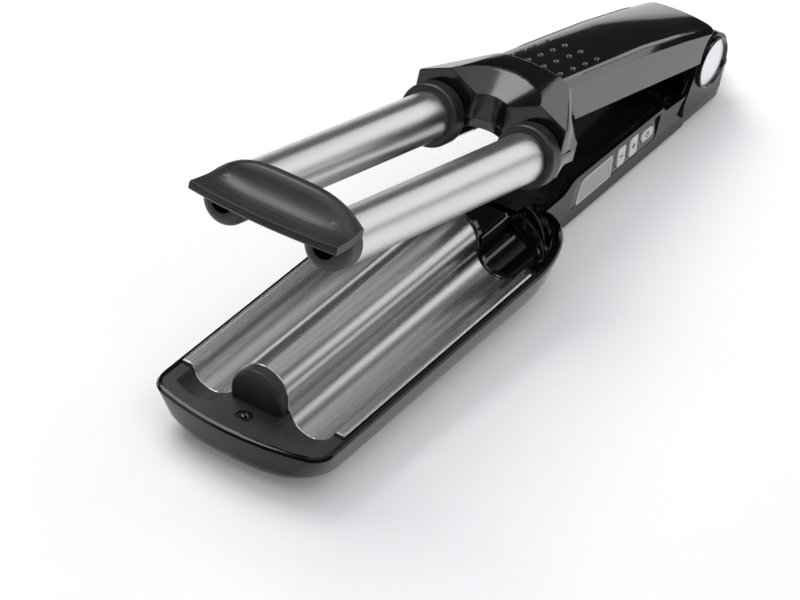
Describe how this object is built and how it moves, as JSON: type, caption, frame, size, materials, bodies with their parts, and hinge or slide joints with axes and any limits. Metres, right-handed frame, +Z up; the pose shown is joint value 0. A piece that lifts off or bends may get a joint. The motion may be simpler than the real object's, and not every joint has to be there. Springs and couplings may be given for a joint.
{
  "type": "hair waver",
  "caption": "Hair waver with a sprung jaw: paired heated barrels close into a waved plate, with side keys, a display and a swivelling cord gland.",
  "frame": {"origin": "On the table, straight below the jaw hinge axis, in the middle of the width.", "axes": "+X from the hinge to the tip, +Y to the side with the keys and display, +Z up."},
  "size_m": [0.343, 0.074, 0.1115],
  "materials": {
    "black_gloss": "high-gloss black",
    "black_satin": "satin black",
    "charcoal": "matte charcoal, heat resistant",
    "titanium": "fine brushed, titanium coloured coating",
    "heat_plastic": "natural heat-resistant moulding",
    "bare_aluminium": "as extruded",
    "spring_steel": "drawn wire and turned steel",
    "dark_steel": "blackened",
    "board_green": "solder mask",
    "display_grey": "unlit liquid crystal",
    "clear_window": "clear polycarbonate",
    "bezel_grey": "dark grey",
    "silver_key": "silver paint",
    "silver_cap": "spun silver",
    "soft_rubber": "moulded rubber"
  },
  "bodies": {
    "lower_arm": {"lower_shell": "black_gloss", "handle_deck": "black_satin", "pocket_tray": "black_gloss", "plate_carrier": "heat_plastic", "wave_plate": "titanium", "ridge_heater": "bare_aluminium", "heater_spring": "spring_steel", "thermal_fuse": "bare_aluminium", "tip_cap": "charcoal", "tip_screw": "dark_steel", "deck_screws": "dark_steel", "control_board": "board_green", "tact_switches": "spring_steel", "display_module": "display_grey", "display_window": "clear_window", "control_bezel": "bezel_grey", "hinge_pin": "spring_steel", "hinge_cap_left": "silver_cap", "hinge_cap_right": "silver_cap", "jaw_spring": "spring_steel"},
    "upper_arm": {"upper_shell": "black_gloss", "upper_liner": "black_satin", "upper_screws": "dark_steel", "barrel_yoke": "black_gloss", "yoke_cover": "black_satin", "yoke_screws": "dark_steel", "barrel_left": "titanium", "barrel_right": "titanium", "collar_ring_left": "charcoal", "collar_ring_right": "charcoal", "barrel_heater_left": "bare_aluminium", "barrel_heater_right": "bare_aluminium", "tip_bridge": "charcoal", "bridge_screws": "dark_steel"},
    "minus_key": {"button_minus": "silver_key"},
    "plus_key": {"button_plus": "silver_key"},
    "power_key": {"button_power": "silver_key"},
    "cord_swivel": {"swivel_gland": "soft_rubber"}
  },
  "joints": [
    {"name": "jaw_hinge", "type": "hinge", "parent": "lower_arm", "child": "upper_arm", "pos_m": [0, 0, 0.0259], "axis": [0, 1, 0], "range_deg": [0, 14.2], "stiffness_Nm_per_rad": 2, "springref_deg": -17.19, "deforming": ["jaw_spring"]},
    {"name": "minus_press", "type": "slide", "parent": "lower_arm", "child": "minus_key", "axis": [0, -1, 0], "range_m": [0, 0.0007], "stiffness_N_per_m": 400, "springref_m": -0.0005},
    {"name": "plus_press", "type": "slide", "parent": "lower_arm", "child": "plus_key", "axis": [0, -1, 0], "range_m": [0, 0.0007], "stiffness_N_per_m": 400, "springref_m": -0.0005},
    {"name": "power_press", "type": "slide", "parent": "lower_arm", "child": "power_key", "axis": [0, -1, 0], "range_m": [0, 0.0007], "stiffness_N_per_m": 400, "springref_m": -0.0005},
    {"name": "cord_turn", "type": "hinge", "parent": "lower_arm", "child": "cord_swivel", "pos_m": [-0.024, 0, 0.009], "axis": [1, 0, 0], "continuous": true}
  ]
}
